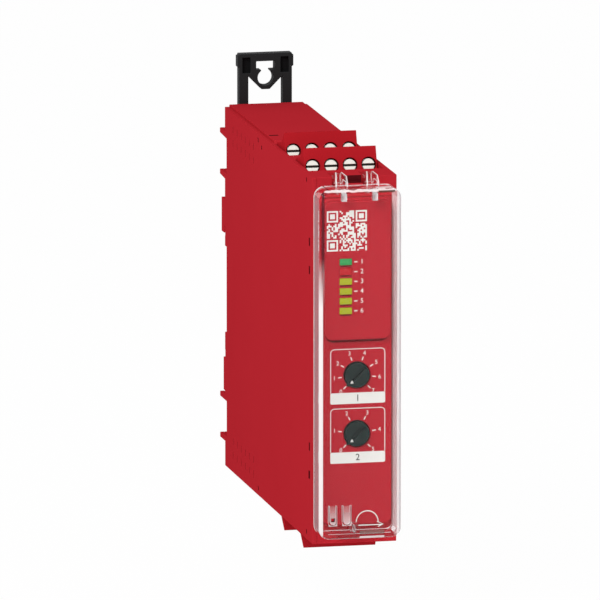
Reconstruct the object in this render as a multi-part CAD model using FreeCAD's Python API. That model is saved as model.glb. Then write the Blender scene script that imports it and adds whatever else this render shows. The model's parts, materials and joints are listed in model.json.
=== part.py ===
import FreeCAD, Part
import math
import os
from FreeCAD import Vector

# Narrow safety relay for a mounting rail, in millimetres.
# X runs across the module, Y runs back towards the rail and Z runs up.
# The drawing is laid out about the middle of the housing's height. Each piece is
# moved up when it is written, so that the origin is the rail's centre line on
# the plane where the rail's flanges seat.

# Clearances
plug_gap = 0.35
slide_gap = 0.3
hinge_gap = 0.05
fit_gap = 0.05
panel_gap = 0.1
parallel_angle = 0.01

# Housing
pole_pitch = 5.0
pole_count = 4
plug_relief = 0.6
side_wall = 1.2
shell_wall = 1.5
housing_height = 97.6
housing_depth = 109.5
top_pad_rise = 0.6
band_depth = 9.9
band_height = 5.5

# Rail side of the housing
rail_height = 35.0
rail_flange = 1.0
middle_above_rail = 1.6
rail_recess = 2.0
seat_height = 4.8
claw_height = 7.8
claw_reach = 4.3
claw_lip = 1.5
cheek_reach = 1.9
cheek_height = 9.0
foot_reach = 6.4
foot_thickness = 1.7
foot_taper = 0.35
foot_gap = 0.85
foot_drop = 7.5
seat_relief = 0.3
relief_gap = 0.4

# Terminal plugs
plug_depth = 12.45
plug_pocket = 11.2
tool_valley = 4.3
valley_drop = 4.3
web_depth = 6.25
crest_rise = 4.6
knee_drop = 5.3
shoulder_rise = 0.6
face_tilt = 20.0
back_slope = 40.0
screw_drop = 4.9
screw_head_radius = 1.7
screw_head_height = 1.2
screw_recess = 0.6
screw_hole_gap = 0.25
screw_radius = 1.2
screw_slot_width = 0.55
screw_slot_depth = 0.6
chamber_start = 2.6
cage_width = 3.6
cage_depth = 4.2
cage_height = 4.0
cage_wall = 0.6
cage_head = 1.0
cage_gap = 0.15
wire_radius = 1.5
pin_size = 1.0
pin_reach = 4.8
pin_gap = 0.35
contact_width = 1.4
contact_leaf = 0.3
contact_gap = 0.1
contact_grip = 0.05
contact_foot = 0.6
contact_neck = 2.2
contact_tail_width = 2.0
contact_tail_length = 3.8
header_height = 3.0
header_depth = 6.0
header_margin = 1.9

# Sliding lug and catch behind the housing
slider_width = 14.4
slider_nub = 0.4
nub_drop = 0.5
nub_height = 3.1
slider_thickness = 3.0
slider_arm = 2.5
slider_travel = 13.8
lug_reach = 14.0
crossbar_height = 2.1
lug_foot_height = 2.4
screw_eye_radius = 2.15
screw_eye_wall = 1.0
screw_eye_inset = 6.55
screw_eye_foot = 2.2
gusset_rise = 0.5
screw_eye_mouth = 2.4
key_window_width = 5.1
key_window_height = 2.3
pocket_width = 2.2
pocket_height = 4.2
pocket_depth = 1.2
pocket_rim = 1.55
pocket_drop = 1.0
catch_inset = 0.2
catch_head_height = 3.0
catch_lip = 1.5

# Front panel, its plate and the clear cover
panel_depth = 1.5
platform_side_gap = 0.85
platform_height = 2.7
plate_thickness = 1.0
plate_side = 0.4
plate_low_z = 6.1
plate_end_gap = 0.6
plate_corner = 2.0
hook_z_inner = 23.5
hook_z_outer = 31.0
hook_setback = 4.0
hook_window_height = 2.2
hook_window_depth = 1.8
hook_width = 1.8
hook_arm = 0.5
hook_nose = 0.9
cover_side_inset = 0.25
cover_wall = 1.2
cover_depth = 7.2
cover_gap = 0.3
cover_top_inset = 2.3
cover_low_inset = 2.5
cover_corner = 2.8
cover_edge = 0.9
rib_width = 1.3
rib_height = 2.0
rib_depth = 1.5
tongue_rise = 3.6
tongue_length = 5.4
tongue_left_x = -7.4
tongue_left_width = 2.3
tongue_right_x = -3.65
tongue_right_width = 2.5
tongue_slit = 0.35
seal_x = -1.7
seal_rise = 1.3
seal_width = 1.6
seal_height = 3.0
seal_rim = 0.5
seal_depth = 0.8
arm_width = 3.3
arm_flare = 1.2
arm_centre_x = 4.15
arm_thickness = 1.6
arm_slot_gap = 0.2
hinge_setback = 3.9
hinge_drop = 1.2
hinge_pin_radius = 0.9
hinge_pin_length = 1.0
barrel_radius = 1.6
arm_swing_room = 0.9
finger_notch_width = 5.1
finger_notch_depth = 2.0
finger_notch_height = 1.9

# Lamps and selectors
lamp_count = 6
lamp_x = -3.2
lamp_pitch = 2.6
lamp_first_z = 26.8
lamp_width = 3.3
lamp_height = 1.7
lamp_flange = 0.3
lamp_flange_depth = 0.8
led_width = 2.0
led_height = 1.2
led_depth = 0.8
knob_radius = 3.3
knob_proud = 0.6
knob_beak_reach = 4.1
knob_beak_half = 1.2
knob_beak_depth = 0.3
knob_shaft_radius = 1.5
knob_shaft_length = 2.0
knob_slot_width = 1.0
knob_slot_depth = 0.8
knob_slot_margin = 0.7
knob_start_angle = 135.0
knob_z_upper = -3.5
knob_z_lower = -19.1
switch_size = 8.2
switch_depth = 3.4
switch_corner = 0.8

# Boards and what they carry
board_thickness = 1.6
board_end_gap = 0.6
front_board_side = 1.15
front_board_end = 2.3
front_post_radius = 1.2
front_post_inset = 2.0
terminal_board_side = 0.35
terminal_board_over = 3.0
standoff_height = 0.85
standoff_radius = 2.5
standoff_inset = 5.0
main_board_rear_gap = 2.5
relay_length = 29.0
relay_width = 12.6
relay_height = 15.7
relay_spacing = 2.0
relay_corner = 0.8
relay_link_gap = 0.6
relay_count = 3
coil_thickness = 2.7
core_width = 16.0
core_height = 12.0
core_leg = 3.0
coil_gap = 0.15
core_rear_gap = 6.0
capacitor_radius = 5.0
capacitor_height = 13.0
capacitor_bead = 0.5
capacitor_spacing = 15.5
chip_size = 10.0
chip_height = 1.4
chip_spacing = 24.0
chip_front_gap = 10.0
link_width = 2.6
link_length = 12.7
link_depth = 2.5
peg_radius = 1.5
peg_length = 5.0
peg_boss_wall = 1.1
peg_rear_y = -5.6
peg_front_gap = 8.0
peg_drop = 4.9
latch_hole_radius = 0.7
latch_front_setback = 7.6
latch_front_drop = 1.9
latch_first_gap = 16.5
latch_first_drop = 1.8
latch_second_gap = 12.2
latch_second_drop = 3.1
notch_width = 2.4
notch_length = 1.6
notch_depth = 0.8
notch_edge_gap = 0.45
notch_pocket_gap = 8.9
vent_width = 0.7
vent_height = 1.9
vent_first_y = -10.0
vent_pitch = 5.2
vent_count = 6
vent_row_upper = 4.6
vent_row_lower = 8.3

# Worked-out places
plug_width = pole_pitch * pole_count - plug_relief
inner_x = plug_width / 2 + plug_gap
outer_x = inner_x + side_wall
top_z = housing_height / 2
front_y = -housing_depth
core_window = coil_thickness + 2 * coil_gap
core_length = 4 * core_leg + 2 * core_window
rail_top_z = rail_height / 2 - middle_above_rail
rail_low_z = -rail_height / 2 - middle_above_rail
band_y = front_y + band_depth
outer_foot_z = top_z - foot_drop
inner_foot_z = slide_gap + cheek_height - rail_low_z + foot_thickness / 2 + foot_gap
pocket_front_y = band_y + tool_valley
plug_front_y = pocket_front_y + plug_gap
plug_rear_y = plug_front_y + plug_depth
pocket_rear_y = plug_rear_y + plug_gap
plug_pitch = plug_depth + 2 * plug_gap + web_depth + tool_valley
pocket_floor_z = top_z - plug_pocket
plug_foot_z = pocket_floor_z + plug_gap
knee_z = top_z - knee_drop
crest_z = top_z + crest_rise
tilt = math.radians(face_tilt)
crest_y = plug_front_y + (crest_z - knee_z) * math.tan(tilt)
shoulder_z = top_z + shoulder_rise
shoulder_y = crest_y + (crest_z - shoulder_z) / math.tan(math.radians(back_slope))
screw_y = crest_y - screw_drop * math.sin(tilt)
screw_z = crest_z - screw_drop * math.cos(tilt)
pin_y = (plug_front_y + plug_rear_y) / 2
contact_out_y = pin_size / 2 + contact_grip + contact_leaf
contact_top_z = plug_foot_z + pin_reach + pin_gap + contact_leaf
screw_tip = chamber_start + cage_gap + cage_head + cage_wall
pole_xs = [(i - (pole_count - 1) / 2) * pole_pitch for i in range(pole_count)]
terminal_board_z = pocket_floor_z - shell_wall - header_height
panel_back_y = front_y + panel_depth
platform_y = front_y - platform_height
plate_face_y = platform_y - plate_thickness
platform_x = inner_x - platform_side_gap
opening_z = top_z - band_height
front_board_y = panel_back_y + switch_depth + fit_gap
front_board_back_y = front_board_y + board_thickness
main_board_x = inner_x - standoff_height - board_thickness
main_board_z = terminal_board_z - board_thickness - board_end_gap
main_board_front_y = front_board_back_y + board_end_gap
main_board_rear_y = -rail_recess - shell_wall - main_board_rear_gap
cover_back_y = front_y - cover_gap
cover_face_y = cover_back_y - cover_depth
cover_low_z = cover_low_inset - top_z
tongue_low_z = cover_low_z + tongue_rise
hinge_y = front_y + hinge_setback
hinge_z = top_z - hinge_drop
slider_front_y = slide_gap
slider_back_y = slider_front_y + slider_thickness
eye_outer = screw_eye_radius + screw_eye_wall


def box(x0, x1, y0, y1, z0, z1):
    return Part.makeBox(x1 - x0, y1 - y0, z1 - z0, Vector(x0, y0, z0))


def prism_x(points, x0, x1):
    """A plate whose outline is drawn in Y and Z, from x0 to x1."""
    corners = [Vector(x0, y, z) for y, z in points]
    return Part.Face(Part.makePolygon(corners + corners[:1])).extrude(Vector(x1 - x0, 0, 0))


def prism_y(points, y0, y1):
    """A plate whose outline is drawn in X and Z, from y0 to y1."""
    corners = [Vector(x, y0, z) for x, z in points]
    return Part.Face(Part.makePolygon(corners + corners[:1])).extrude(Vector(0, y1 - y0, 0))


def rod_x(radius, x0, x1, y, z):
    return Part.makeCylinder(radius, x1 - x0, Vector(x0, y, z), Vector(1, 0, 0))


def rod_y(radius, y0, y1, x, z):
    return Part.makeCylinder(radius, y1 - y0, Vector(x, y0, z), Vector(0, 1, 0))


def edges_along(shape, direction):
    """The straight edges of a block that run in one direction."""
    return [e for e in shape.Edges if e.tangentAt(e.FirstParameter).isParallel(direction, parallel_angle)]


def rounded_y(x0, x1, y0, y1, z0, z1, radius):
    """A block with its four edges along Y rounded."""
    block = box(x0, x1, y0, y1, z0, z1)
    return block.makeFillet(radius, edges_along(block, Vector(0, 1, 0)))


def join(first, *others):
    return first.fuse(list(others)).removeSplitter()


def upside_down(shape):
    return shape.mirror(Vector(0, 0, 0), Vector(0, 0, 1))


def left_right(shape):
    return shape.mirror(Vector(0, 0, 0), Vector(1, 0, 0))


def moved(shape, x=0.0, y=0.0, z=0.0):
    copy = shape.copy()
    copy.translate(Vector(x, y, z))
    return copy


def foot_outline(z, top_root, low_root):
    """One foot on the rail side: a flat top and a tapered underside, between its two roots."""
    half = foot_thickness / 2
    return [(top_root, z + half), (foot_reach, z + half),
            (foot_reach, z - half + foot_taper), (low_root, z - half)]


def rear_outline():
    """The rail side of the housing from top to bottom, as Y and Z."""
    seat_top = rail_top_z + slide_gap
    claw_lip_y = rail_flange + slide_gap
    claw_low = rail_top_z - claw_lip
    seat_low = rail_low_z - slide_gap
    relief_low = rail_low_z + catch_lip + relief_gap
    upper_feet = foot_outline(outer_foot_z, 0, -rail_recess) + foot_outline(inner_foot_z, -rail_recess, 0)
    lower_feet = [(y, -z) for y, z in reversed(upper_feet)]
    claw = [
        (0, rail_top_z + claw_height),
        (claw_reach, rail_top_z + claw_height),
        (claw_reach, claw_low),
        (claw_lip_y, claw_low),
        (claw_lip_y, seat_top),
        (-seat_relief, seat_top),
        (-seat_relief, claw_low - relief_gap),
        (0, claw_low - relief_gap),
        (0, rail_top_z - seat_height),
        (-rail_recess, rail_top_z - seat_height),
    ]
    cheek = [
        (-rail_recess, rail_low_z + seat_height + rail_recess),
        (0, rail_low_z + seat_height + rail_recess),
        (0, relief_low),
        (-seat_relief, relief_low),
        (-seat_relief, seat_low),
        (cheek_reach, seat_low),
        (cheek_reach, seat_low - cheek_height),
        (0, seat_low - cheek_height),
    ]
    return upper_feet + claw + cheek + lower_feet


def wall_outline():
    """A whole side wall: straight at the front, top and bottom."""
    return [(front_y, top_z), (0, top_z)] + rear_outline() + [(0, -top_z), (front_y, -top_z)]


def top_outline():
    """The top of the tub from front to rear, with its two plug pockets, as Y and Z."""
    points = [(front_y, top_z)]
    for i in range(2):
        shift = i * plug_pitch
        points += [
            (band_y + shift, top_z),
            (band_y + shift, top_z - valley_drop + shell_wall),
            (pocket_front_y + shift, top_z - valley_drop),
            (pocket_front_y + shift, pocket_floor_z),
            (pocket_rear_y + shift, pocket_floor_z),
            (pocket_rear_y + shift, top_z),
        ]
    rear_y = pocket_rear_y + plug_pitch + shell_wall
    points += [(rear_y, top_z), (rear_y + top_pad_rise, top_z + top_pad_rise), (0, top_z + top_pad_rise)]
    return points


def tub_body():
    """The walls between the two sides: one outline less the hollow inside it."""
    top = top_outline()
    low = [(y, -z) for y, z in reversed(top)]
    rear = [(-rail_recess, top_z + top_pad_rise), (-rail_recess, -top_z - top_pad_rise)]
    inside = Part.Face(Part.makePolygon(
        [Vector(-inner_x, y, z) for y, z in top[:-1] + rear + low[1:] + top[:1]]))
    hollow = inside.makeOffset2D(-shell_wall, join=2).extrude(Vector(2 * inner_x, 0, 0))
    body = prism_x(top + rear_outline() + low, -inner_x, inner_x)
    return body.cut(hollow)


def tub_holes():
    """What is cut through the walls of the tub."""
    cuts = [box(-inner_x, inner_x, front_y, panel_back_y + shell_wall, -opening_z, opening_z)]
    tunnel_x = slider_width / 2 + slider_nub + slide_gap
    tunnel_y = slider_back_y + slide_gap
    tunnel_top = rail_top_z + claw_height + slide_gap
    cuts.append(box(-tunnel_x, tunnel_x, 0, tunnel_y, tunnel_top, top_z))
    cuts.append(box(-tunnel_x, tunnel_x, 0, tunnel_y, -top_z, rail_low_z - slide_gap))
    half = pin_size / 2 + pin_gap
    for x in pole_xs:
        for i in range(2):
            y = pin_y + i * plug_pitch
            hole = box(x - half, x + half, y - half, y + half, pocket_floor_z - shell_wall, pocket_floor_z)
            cuts += [hole, upside_down(hole)]
    return cuts


def hinge_block():
    """The solid band over the front opening, with the cover's hinge slots."""
    low_z = opening_z
    block = box(-inner_x, inner_x, front_y, band_y - shell_wall, low_z, top_z)
    slot_half = arm_width / 2 + arm_slot_gap
    slot_floor = hinge_z - barrel_radius - slide_gap
    slot_back = hinge_y + barrel_radius + slide_gap + arm_swing_room
    cuts = []
    for x in (-arm_centre_x, arm_centre_x):
        cuts.append(box(x - slot_half, x + slot_half, front_y, slot_back, slot_floor, top_z))
        reach = slot_half + hinge_pin_length
        cuts.append(rod_x(hinge_pin_radius + hinge_gap, x - reach, x + reach, hinge_y, hinge_z))
    half = finger_notch_width / 2
    cuts.append(box(-half, half, front_y, front_y + finger_notch_depth,
                    top_z - finger_notch_height, top_z))
    return block, cuts


def hook_windows(x0, x1):
    """Windows in a side wall where the front panel snaps in."""
    y = front_y + hook_setback
    half_y = hook_window_depth / 2
    half_z = hook_window_height / 2
    heights = (-hook_z_outer, -hook_z_inner, hook_z_inner, hook_z_outer)
    return [box(x0, x1, y - half_y, y + half_y, z - half_z, z + half_z) for z in heights]


def peg_places():
    rear_of_pockets = pocket_rear_y + plug_pitch + peg_front_gap
    z = top_z - peg_drop
    return [(y, side * z) for y in (peg_rear_y, rear_of_pockets) for side in (-1, 1)]


def latch_places():
    """Where the small latch holes of the side cover are, as Y and Z."""
    rear_of_pockets = pocket_rear_y + plug_pitch
    front = front_y + latch_front_setback
    first = rear_of_pockets + latch_first_gap
    return [(front, top_z - latch_front_drop), (front, latch_front_drop - top_z),
            (first, top_z - latch_first_drop), (first, latch_first_drop - top_z),
            (rear_of_pockets + latch_second_gap, top_z - latch_second_drop)]


def top_notch():
    """The notch in the tub's top where the side cover is prised off."""
    x0 = notch_edge_gap - inner_x
    y0 = pocket_rear_y + plug_pitch + notch_pocket_gap
    z1 = top_z + top_pad_rise
    return box(x0, x0 + notch_width, y0, y0 + notch_length, z1 - notch_depth, z1)


def make_housing():
    right_wall = prism_x(wall_outline(), inner_x, outer_x)
    block, hinge_cuts = hinge_block()
    pieces = [right_wall, block]
    boss = peg_radius + fit_gap + peg_boss_wall
    holes = []
    for y, z in peg_places():
        pieces.append(rod_x(boss, -inner_x, inner_x, y, z))
        holes.append(rod_x(peg_radius + fit_gap, -inner_x, peg_length + fit_gap - inner_x, y, z))
    for y, z in standoff_places():
        pieces.append(rod_x(standoff_radius, main_board_x + board_thickness, inner_x, y, z))
    low_block = box(-inner_x, inner_x, front_y, band_y - shell_wall, -top_z, -opening_z)
    pieces.append(low_block)
    shell = join(tub_body(), *pieces)
    cuts = tub_holes() + hinge_cuts + hook_windows(inner_x, outer_x) + holes + [top_notch()]
    return shell.cut(cuts)


def make_side_cover():
    plate = prism_x(wall_outline(), -outer_x, -inner_x)
    pegs = [rod_x(peg_radius, -inner_x, peg_length - inner_x, y, z) for y, z in peg_places()]
    cuts = hook_windows(-outer_x, -inner_x)
    cuts += [rod_x(latch_hole_radius, -outer_x, -inner_x, y, z) for y, z in latch_places()]
    for i in range(vent_count):
        y = vent_first_y - i * vent_pitch
        for drop in (vent_row_upper, vent_row_lower):
            slit = box(-outer_x, -inner_x, y - vent_width / 2, y + vent_width / 2,
                       top_z - drop - vent_height / 2, top_z - drop + vent_height / 2)
            cuts += [slit, upside_down(slit)]
    return join(plate, *pegs).cut(cuts)


def lamp_zs():
    return [lamp_first_z - i * lamp_pitch for i in range(lamp_count)]


def lamp_hole(z, y0, y1):
    half_x = lamp_width / 2 + fit_gap
    half_z = lamp_height / 2 + fit_gap
    return box(lamp_x - half_x, lamp_x + half_x, y0, y1, z - half_z, z + half_z)


def make_front_panel():
    edge = inner_x - panel_gap
    high = opening_z - panel_gap
    flange = box(-edge, edge, front_y, panel_back_y, -high, high)
    raised = rounded_y(-platform_x, platform_x, platform_y, front_y, -high, high, plate_corner)
    pieces = [raised]
    nose_y = front_y + hook_setback
    tail_y = nose_y + hook_window_depth / 2
    for z in (-hook_z_outer, -hook_z_inner, hook_z_inner, hook_z_outer):
        z0 = z - hook_width / 2
        arm = box(edge - hook_arm, edge, panel_back_y, tail_y - fit_gap, z0, z0 + hook_width)
        nose = Part.Face(Part.makePolygon([
            Vector(edge, nose_y - hook_window_depth / 2 + fit_gap, z0),
            Vector(edge + hook_nose, nose_y - hook_window_depth / 2 + fit_gap, z0),
            Vector(edge, tail_y - fit_gap, z0),
            Vector(edge, nose_y - hook_window_depth / 2 + fit_gap, z0),
        ])).extrude(Vector(0, 0, hook_width))
        pieces += [arm, nose, left_right(arm), left_right(nose)]
    for x, z in front_post_places():
        pieces.append(rod_y(front_post_radius, panel_back_y, front_board_y, x, z))
    panel = join(flange, *pieces)
    cuts = [lamp_hole(z, platform_y, panel_back_y) for z in lamp_zs()]
    for z in (knob_z_upper, knob_z_lower):
        cuts.append(rod_y(knob_radius + slide_gap, platform_y, panel_back_y, 0, z))
    return panel.cut(cuts)


def make_indicator_plate():
    edge = platform_x - plate_side
    plate = rounded_y(-edge, edge, plate_face_y, platform_y,
                      plate_low_z, opening_z - plate_end_gap, plate_corner)
    return plate.cut([lamp_hole(z, plate_face_y, platform_y) for z in lamp_zs()])


def make_light_guide(z):
    half_x = lamp_width / 2
    half_z = lamp_height / 2
    stem = box(lamp_x - half_x, lamp_x + half_x, plate_face_y, panel_back_y, z - half_z, z + half_z)
    foot_y = front_board_y - led_depth - slide_gap
    tail = box(lamp_x - half_x, lamp_x + half_x, panel_back_y, foot_y, z - half_z, z + half_z)
    flange = box(lamp_x - half_x - lamp_flange, lamp_x + half_x + lamp_flange,
                 panel_back_y, panel_back_y + lamp_flange_depth,
                 z - half_z - lamp_flange, z + half_z + lamp_flange)
    return join(stem, tail, flange)


def make_led(z):
    return box(lamp_x - led_width / 2, lamp_x + led_width / 2,
               front_board_y - led_depth, front_board_y, z - led_height / 2, z + led_height / 2)


def make_switch(z):
    half = switch_size / 2
    body = rounded_y(-half, half, front_board_y - switch_depth, front_board_y,
                     z - half, z + half, switch_corner)
    depth = knob_shaft_length + fit_gap
    start = front_board_y - switch_depth
    return body.cut(rod_y(knob_shaft_radius + fit_gap, start, start + depth, 0, z))


def make_knob(z):
    """A rotor with a screwdriver slot and a beak that points at its first position."""
    back = front_board_y - switch_depth - slide_gap
    face = platform_y - knob_proud
    reach = knob_radius - knob_slot_margin
    beak = prism_y([(-knob_beak_half, 0), (-knob_beak_half, reach), (0, knob_beak_reach),
                    (knob_beak_half, reach), (knob_beak_half, 0)], face, face + knob_beak_depth)
    beak.rotate(Vector(0, 0, 0), Vector(0, 1, 0), -knob_start_angle)
    disc = rod_y(knob_radius, face, back, 0, z)
    shaft = rod_y(knob_shaft_radius, back, back + slide_gap + knob_shaft_length, 0, z)
    half = knob_slot_width / 2
    slot = prism_y([(-half, -reach), (half, -reach), (half, reach - knob_slot_width),
                    (0, reach), (-half, reach - knob_slot_width)], face, face + knob_slot_depth)
    slot.rotate(Vector(0, 0, 0), Vector(0, 1, 0), -knob_start_angle)
    return join(disc, shaft, moved(beak, z=z)).cut(moved(slot, z=z))


def cover_arm(x, high):
    """An arm of the cover: up from its top, back over the band and round the hinge pin."""
    x0 = x - arm_width / 2
    x1 = x + arm_width / 2
    arm_top = hinge_z + barrel_radius
    bend_y = cover_back_y - arm_thickness
    tip_y = bend_y - arm_thickness
    bar = prism_x([
        (hinge_y, arm_top),
        (bend_y, arm_top),
        (tip_y, arm_top - arm_thickness),
        (tip_y, high - cover_wall),
        (bend_y, high - cover_wall),
        (bend_y, arm_top - arm_thickness),
        (hinge_y, arm_top - arm_thickness),
    ], x0, x1)
    flare = Part.Face(Part.makePolygon([
        Vector(x0, tip_y, 0), Vector(x1, tip_y, 0), Vector(x1, hinge_y, 0),
        Vector(x0 + arm_flare, hinge_y, 0), Vector(x0, tip_y, 0)])).extrude(Vector(0, 0, arm_top))
    reach = arm_width / 2 + hinge_pin_length
    return [bar.common(flare), rod_x(barrel_radius, x0 + arm_flare, x1, hinge_y, hinge_z),
            rod_x(hinge_pin_radius, x - reach, x + reach, hinge_y, hinge_z)]


def tongue_shape(x, width, trim):
    """A tongue of the cover's front, round at its free lower end."""
    half = width / 2 - trim
    middle = tongue_low_z + width / 2
    y0 = cover_face_y
    y1 = cover_face_y + cover_wall
    return join(box(x - half, x + half, y0, y1, middle, tongue_low_z + tongue_length),
                rod_y(half, y0, y1, x, middle))


def seal_eye(trim, y0, y1):
    """The oval round the hole for a seal, or the hole in it."""
    half = seal_width / 2 - trim
    low = cover_low_z + seal_rise + seal_width / 2
    high = cover_low_z + seal_rise + seal_height - seal_width / 2
    return join(box(seal_x - half, seal_x + half, y0, y1, low, high),
                rod_y(half, y0, y1, seal_x, low), rod_y(half, y0, y1, seal_x, high))


def make_cover():
    """A clear box over the front panel, hung on two arms from the front band."""
    half = outer_x - cover_side_inset
    high = top_z - cover_top_inset
    inner_face = cover_face_y + cover_wall
    shell = rounded_y(-half, half, cover_face_y, cover_back_y, cover_low_z, high, cover_corner)
    rim = [e for e in shell.Edges if e.BoundBox.YMax < cover_face_y + cover_edge]
    shell = shell.makeFillet(cover_edge, rim)
    inside = rounded_y(cover_wall - half, half - cover_wall, inner_face, cover_back_y,
                       cover_low_z + cover_wall, high - cover_wall, cover_corner - cover_wall)
    shell = shell.cut(inside)
    pieces = [seal_eye(0, cover_face_y + cover_edge, inner_face + seal_depth)]
    for x in (-arm_centre_x, arm_centre_x):
        pieces += cover_arm(x, high)
        pieces.append(box(x - rib_width / 2, x + rib_width / 2, inner_face, inner_face + rib_depth,
                          high - cover_wall - rib_height, high - cover_wall))
    cuts = [seal_eye(seal_rim, cover_face_y, inner_face + seal_depth)]
    for x, width in ((tongue_left_x, tongue_left_width), (tongue_right_x, tongue_right_width)):
        cuts.append(tongue_shape(x, width, 0).cut(tongue_shape(x, width, tongue_slit)))
    hole_z = tongue_low_z + tongue_left_width / 2
    cuts.append(box(tongue_left_x - seal_rim, tongue_left_x + seal_rim, cover_face_y, inner_face,
                    hole_z, hole_z + 2 * seal_rim))
    return join(shell, *pieces).cut(cuts)


def slider_head(tip_z):
    """The outer end of a slider: crossbar, key window and open screw eye."""
    half = slider_width / 2
    arm_x = half - slider_arm
    eye_z = tip_z - screw_eye_inset
    web_z = tip_z - crossbar_height - key_window_height
    plate = box(-half, half, slider_front_y, slider_back_y, web_z, tip_z)
    gusset = prism_y([(-arm_x, web_z), (arm_x, web_z), (arm_x, eye_z + gusset_rise),
                      (screw_eye_foot / 2, eye_z - eye_outer), (-screw_eye_foot / 2, eye_z - eye_outer),
                      (-arm_x, eye_z + gusset_rise)], slider_front_y, slider_back_y)
    nub_top = tip_z - nub_drop
    nubs = box(-half - slider_nub, half + slider_nub, slider_front_y, slider_back_y,
               nub_top - nub_height, nub_top)
    head = join(plate, gusset, nubs)
    window = box(-key_window_width / 2, key_window_width / 2, slider_front_y, slider_back_y,
                 web_z, tip_z - crossbar_height)
    mouth = box(-screw_eye_mouth / 2, screw_eye_mouth / 2, slider_front_y, slider_back_y, eye_z, web_z)
    bore = rod_y(screw_eye_radius, slider_front_y, slider_back_y, 0, eye_z)
    return head.cut([window, mouth, bore])


def slider_pockets(tip_z):
    """The two blind pockets in the front of a slider's head, which save material."""
    left = key_window_width / 2 + pocket_rim
    high = tip_z - pocket_drop
    pocket = box(left, left + pocket_width, slider_front_y, slider_front_y + pocket_depth,
                 high - pocket_height, high)
    return [pocket, left_right(pocket)]


def slider_arms(z0, z1):
    half = slider_width / 2
    arm = box(half - slider_arm, half, slider_front_y, slider_back_y, z0, z1)
    return [arm, left_right(arm)]


def make_lug():
    tip = top_z + lug_reach
    end = rail_top_z + claw_height + 2 * slide_gap + slider_travel
    half = slider_width / 2 + slider_nub
    foot = box(-half, half, slider_front_y, slider_back_y, end, end + lug_foot_height)
    return join(slider_head(tip), foot, *slider_arms(end, tip)).cut(slider_pockets(tip))


def make_catch():
    """The lower slider: the same head turned down, with a claw for the rail above it."""
    tip = top_z - catch_inset
    end = -(rail_low_z - 2 * slide_gap)
    half = slider_width / 2
    foot = box(-half, half, slider_front_y, slider_back_y, end, end + catch_head_height)
    lip_y = rail_flange + 2 * slide_gap
    lip = prism_x([(lip_y, end), (slider_back_y, end), (lip_y, end - catch_lip - slide_gap)], -half, half)
    slider = join(slider_head(tip), foot, lip, *slider_arms(end, tip))
    return upside_down(slider.cut(slider_pockets(tip)))


def tilted(shape, x):
    """A pole's piece drawn along Y and Z, turned to the plug's face and put at its pole."""
    copy = shape.copy()
    copy.rotate(Vector(0, 0, 0), Vector(1, 0, 0), -face_tilt)
    copy.translate(Vector(x, screw_y, screw_z))
    return copy


def make_plug():
    half = plug_width / 2
    body = prism_x([
        (crest_y, crest_z),
        (shoulder_y, shoulder_z),
        (plug_rear_y, shoulder_z),
        (plug_rear_y, plug_foot_z),
        (plug_front_y, plug_foot_z),
        (plug_front_y, knee_z),
    ], -half, half)
    hole = rod_y(screw_head_radius + screw_hole_gap, -plug_depth, chamber_start, 0, 0)
    half_w = cage_width / 2 + cage_gap
    half_h = cage_height / 2 + cage_gap
    chamber_end = chamber_start + cage_gap + cage_depth
    chamber = box(-half_w, half_w, chamber_start, chamber_end, -half_h, half_h)
    wire_y = chamber_end - cage_wall - (cage_depth - cage_wall - cage_head) / 2
    wire = Part.makeCylinder(wire_radius, plug_pocket, Vector(0, wire_y, 0), Vector(0, 0, 1))
    socket_x = contact_width / 2 + contact_gap
    socket_y = contact_out_y + contact_gap
    cuts = []
    for x in pole_xs:
        cuts += [tilted(hole, x), tilted(chamber, x), tilted(wire, x)]
        cuts.append(box(x - socket_x, x + socket_x, pin_y - socket_y, pin_y + socket_y,
                        plug_foot_z, contact_top_z + contact_gap))
        cuts.append(box(x - socket_x, x + socket_x, pin_y - socket_y,
                        pin_y - contact_out_y + contact_leaf + contact_gap,
                        contact_top_z, contact_top_z + contact_neck))
    return body.cut(cuts)


def make_clamp_screw():
    head = rod_y(screw_head_radius, screw_recess, screw_recess + screw_head_height, 0, 0)
    shaft = rod_y(screw_radius, screw_recess + screw_head_height, screw_tip, 0, 0)
    slot = box(-screw_head_radius, screw_head_radius, screw_recess, screw_recess + screw_slot_depth,
               -screw_slot_width / 2, screw_slot_width / 2)
    return join(head, shaft).cut(slot)


def make_clamp_cage():
    start = chamber_start + cage_gap
    half_w = cage_width / 2
    half_h = cage_height / 2
    frame = box(-half_w, half_w, start, start + cage_depth, -half_h, half_h)
    throat = box(cage_wall - half_w, half_w - cage_wall, start + cage_head,
                 start + cage_depth - cage_wall, -half_h, half_h)
    thread = rod_y(screw_radius + fit_gap, start, start + cage_head, 0, 0)
    return frame.cut([throat, thread])


def make_contact():
    """The strip that grips a pin with two leaves and reaches up into the clamp under the screw."""
    half = contact_width / 2
    low = plug_foot_z + contact_foot
    tail_y = screw_tip + contact_grip
    tail = box(-contact_tail_width / 2, contact_tail_width / 2, tail_y, tail_y + contact_leaf,
               -cage_height / 2, contact_tail_length - cage_height / 2)
    knee_y = pin_y - contact_out_y
    front = box(-half, half, knee_y, knee_y + contact_leaf, low, contact_top_z + contact_neck)
    rear = box(-half, half, pin_y + contact_out_y - contact_leaf, pin_y + contact_out_y, low, contact_top_z)
    bridge = box(-half, half, knee_y, pin_y + contact_out_y, contact_top_z - contact_leaf, contact_top_z)
    return join(front, rear, bridge, tilted(tail, 0))


def make_header():
    half = pole_xs[-1] + header_margin
    base = box(-half, half, pin_y - header_depth / 2, pin_y + header_depth / 2,
               terminal_board_z, pocket_floor_z - shell_wall)
    hole_half = pin_size / 2 + fit_gap
    return base.cut([box(x - hole_half, x + hole_half, pin_y - hole_half, pin_y + hole_half,
                         terminal_board_z, pocket_floor_z - shell_wall) for x in pole_xs])


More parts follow.
